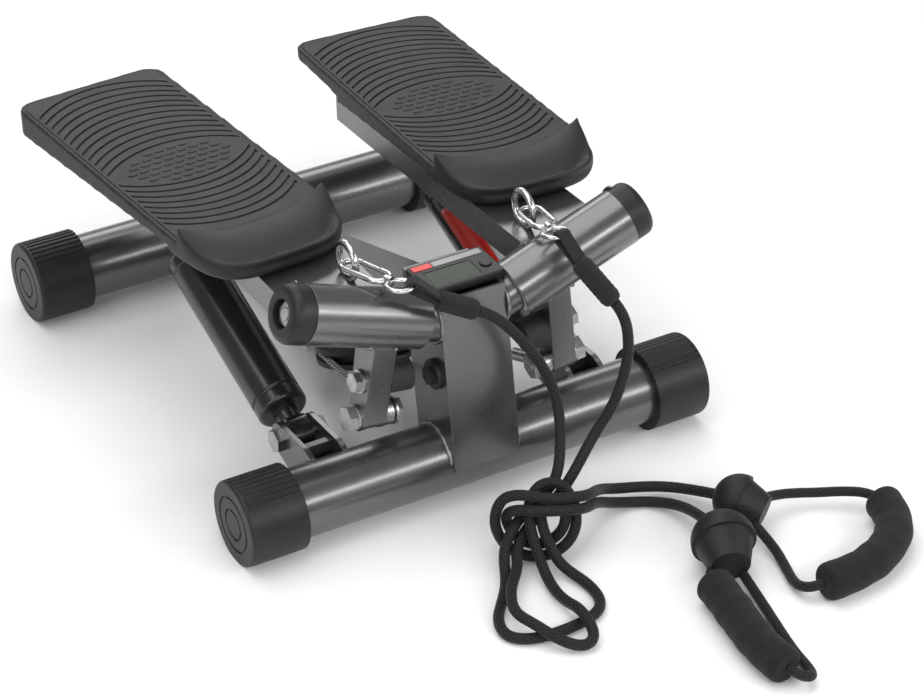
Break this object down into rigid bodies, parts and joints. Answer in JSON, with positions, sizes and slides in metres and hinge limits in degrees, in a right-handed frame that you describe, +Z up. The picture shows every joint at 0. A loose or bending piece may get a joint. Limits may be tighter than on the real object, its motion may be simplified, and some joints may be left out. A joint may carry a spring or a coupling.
{
  "type": "mini stepper",
  "caption": "Compact stepping machine: two swinging pedals on angled pivots, hydraulic cylinders, a cable pulley, a display and elastic pull cords with foam grips.",
  "frame": {"origin": "on the floor, midway between the two crossbars, at the middle of the machine without its cords", "axes": "+X to the right as seen from the front, +Y from the post towards the heels, +Z up"},
  "size_m": [0.4256, 0.6896, 0.2],
  "materials": {
    "frame_paint": "gloss",
    "cap_plastic": "satin",
    "zinc_steel": "satin",
    "swing_paint": "gloss",
    "bush_nylon": "matte",
    "pedal_plastic": "satin",
    "tread_plastic": "matte",
    "bumper_rubber": "matte",
    "bright_wire": "polished",
    "cylinder_paint": "gloss",
    "polished_rod": "polished",
    "pulley_plastic": "satin",
    "cable_steel": "satin",
    "console_plastic": "gloss",
    "screen_glass": "gloss",
    "strap_webbing": "matte",
    "cord_braid": "matte",
    "stopper_plastic": "satin",
    "grip_foam": "matte"
  },
  "bodies": {
    "base": {"cord_stoppers": "stopper_plastic", "cylinder_brackets": "frame_paint", "display_console": "console_plastic", "display_screen": "screen_glass", "drive_cable": "cable_steel", "front_crossbar": "frame_paint", "front_foot_caps": "cap_plastic", "hub_nuts": "zinc_steel", "inner_collars": "frame_paint", "left_cord": "cord_braid", "left_foam_grip": "grip_foam", "left_handle_cord": "cord_braid", "left_hook": "bright_wire", "left_strap_sleeve": "strap_webbing", "lower_pins": "zinc_steel", "main_beam": "frame_paint", "pivot_axle": "zinc_steel", "post_plug": "cap_plastic", "pulley_bolt": "zinc_steel", "pulley_spacer": "zinc_steel", "rear_crossbar": "frame_paint", "rear_foot_caps": "cap_plastic", "right_cord": "cord_braid", "right_foam_grip": "grip_foam", "right_handle_cord": "cord_braid", "right_hook": "bright_wire", "right_strap_sleeve": "strap_webbing", "upright_post": "frame_paint"},
    "left_pedal_body": {"left_pivot_tube": "swing_paint", "left_pivot_bushes": "bush_nylon", "left_hub_cap": "cap_plastic", "left_pedal_arm": "swing_paint", "left_eyelet": "bright_wire", "left_pedal": "pedal_plastic", "left_tread": "tread_plastic", "left_lever": "swing_paint", "left_bumper": "bumper_rubber", "left_lever_bolts": "zinc_steel", "left_cable_eye": "zinc_steel", "left_upper_pin": "zinc_steel"},
    "right_pedal_body": {"right_pivot_tube": "swing_paint", "right_pivot_bushes": "bush_nylon", "right_hub_cap": "cap_plastic", "right_pedal_arm": "swing_paint", "right_eyelet": "bright_wire", "right_pedal": "pedal_plastic", "right_tread": "tread_plastic", "right_lever": "swing_paint", "right_bumper": "bumper_rubber", "right_lever_bolts": "zinc_steel", "right_cable_eye": "zinc_steel", "right_upper_pin": "zinc_steel"},
    "left_cylinder": {"left_cylinder_barrel": "cylinder_paint"},
    "right_cylinder": {"right_cylinder_barrel": "cylinder_paint"},
    "left_piston": {"left_piston_rod": "polished_rod"},
    "right_piston": {"right_piston_rod": "polished_rod"},
    "pulley_wheel": {"pulley": "pulley_plastic"},
    "button": {"mode_button": "console_plastic"},
    "left_gate": {"left_hook_gate": "bright_wire"},
    "right_gate": {"right_hook_gate": "bright_wire"}
  },
  "joints": [
    {"name": "left_pedal_swing", "type": "hinge", "parent": "base", "child": "left_pedal_body", "pos_m": [0, -0.1685, 0.1316], "axis": [0.9397, 0, -0.342], "range_deg": [-7, 7], "deforming": ["drive_cable"]},
    {"name": "right_pedal_swing", "type": "hinge", "parent": "base", "child": "right_pedal_body", "pos_m": [0, -0.1685, 0.1316], "axis": [0.9397, 0, 0.342], "range_deg": [-7, 7]},
    {"name": "left_cylinder_swing", "type": "hinge", "parent": "base", "child": "left_cylinder", "pos_m": [-0.104, -0.1165, 0.041], "axis": [0.9397, 0, -0.342], "range_deg": [-8.6, 8.6]},
    {"name": "right_cylinder_swing", "type": "hinge", "parent": "base", "child": "right_cylinder", "pos_m": [0.104, -0.1165, 0.041], "axis": [0.9397, 0, 0.342], "range_deg": [-8.6, 8.6]},
    {"name": "left_rod_slide", "type": "slide", "parent": "left_cylinder", "child": "left_piston", "axis": [-0.0093, 0.9426, 0.3338], "range_m": [-0.0182, 0.0182]},
    {"name": "right_rod_slide", "type": "slide", "parent": "right_cylinder", "child": "right_piston", "axis": [0.025, 0.9542, 0.2983], "range_m": [-0.0182, 0.0182]},
    {"name": "pulley_turn", "type": "hinge", "parent": "base", "child": "pulley_wheel", "pos_m": [0, -0.0295, 0.0324], "axis": [0, 0.3107, 0.9505], "range_deg": [-17, 17]},
    {"name": "mode_button_press", "type": "slide", "parent": "base", "child": "button", "axis": [0, 0, -1], "range_m": [0, 0.001], "stiffness_N_per_m": 400},
    {"name": "left_gate_open", "type": "hinge", "parent": "base", "child": "left_gate", "pos_m": [-0.05727, -0.15433, 0.18266], "axis": [0.071, 0.1131, 0.991], "range_deg": [0, 9], "stiffness_Nm_per_rad": 0.02},
    {"name": "right_gate_open", "type": "hinge", "parent": "base", "child": "right_gate", "pos_m": [0.0599, -0.15447, 0.18461], "axis": [-0.0303, -0.1859, -0.9821], "range_deg": [0, 9], "stiffness_Nm_per_rad": 0.02}
  ],
  "couplings": [
    {"joint": "right_pedal_swing", "follows": "left_pedal_swing", "ratio": -1},
    {"joint": "left_cylinder_swing", "follows": "left_pedal_swing", "ratio": 1.0527},
    {"joint": "right_cylinder_swing", "follows": "left_pedal_swing", "ratio": -1.0771},
    {"joint": "left_rod_slide", "follows": "left_pedal_swing", "m_per_rad": 0.12943},
    {"joint": "right_rod_slide", "follows": "left_pedal_swing", "m_per_rad": -0.12878},
    {"joint": "pulley_turn", "follows": "left_pedal_swing", "ratio": -2.03}
  ]
}
